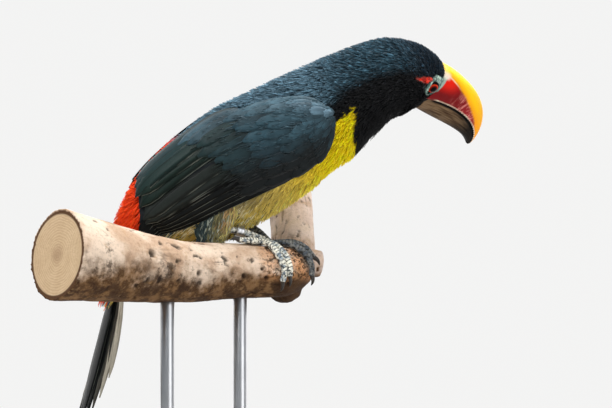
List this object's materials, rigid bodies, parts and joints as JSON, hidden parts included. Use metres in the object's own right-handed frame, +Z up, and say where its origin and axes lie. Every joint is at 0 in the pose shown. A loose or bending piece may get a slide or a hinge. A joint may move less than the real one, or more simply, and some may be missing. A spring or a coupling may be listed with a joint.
{
  "type": "green aracari on a perch, mounted bird model",
  "caption": "Life-size male green aracari, a small toucan, crouched on a cut length of branch with its head turned aside, held on a display stand.",
  "frame": {"origin": "centre of the underside of the stand's base", "axes": "+Z up; +X the way the bird's trunk faces; -Y its right side"},
  "size_m": [0.2804, 0.1571, 0.244],
  "materials": {
    "head_plumage": "short sleek feathers, blue-black on the cap and nape, black on the cheek and throat",
    "body_plumage": "soft feathers: blue-grey mantle, yellow breast and belly, red rump",
    "wing_plumage": "dark slate wing feathers with a slight sheen",
    "tail_plumage": "blackish green tail feathers, the outer ones paler",
    "thigh_plumage": "loose thigh feathers, slate to ochre",
    "bill_upper": "smooth horn, yellow ridge over red sides",
    "bill_lower": "smooth dark horn, brown at the base and black at the tip",
    "eye": "wet and clear, dark red-brown iris",
    "leg_skin": "grey scaled skin",
    "claw": "dark horn",
    "leg_ring": "plain polished band",
    "bark": "worn pale bark with knots and dark stains",
    "stand_base": "dark stained board, satin",
    "stand_rod": "plain round bar"
  },
  "bodies": {
    "root": {"head": "head_plumage", "neck": "head_plumage", "trunk": "body_plumage", "wing_right": "wing_plumage", "wing_left": "wing_plumage", "tail": "tail_plumage", "thigh_right": "thigh_plumage", "thigh_left": "thigh_plumage", "bill_upper": "bill_upper", "bill_lower": "bill_lower", "eye_right": "eye", "eye_left": "eye", "tarsus_right": "leg_skin", "tarsus_left": "leg_skin", "foot_right": "leg_skin", "foot_left": "leg_skin", "claw_right_inner_front": "claw", "claw_right_outer_front": "claw", "claw_right_outer_back": "claw", "claw_right_inner_back": "claw", "claw_left_inner_front": "claw", "claw_left_outer_front": "claw", "claw_left_outer_back": "claw", "claw_left_inner_back": "claw", "leg_ring": "leg_ring", "perch": "bark", "stand_base": "stand_base", "stand_rod_1": "stand_rod", "stand_rod_2": "stand_rod"}
  },
  "joints": []
}
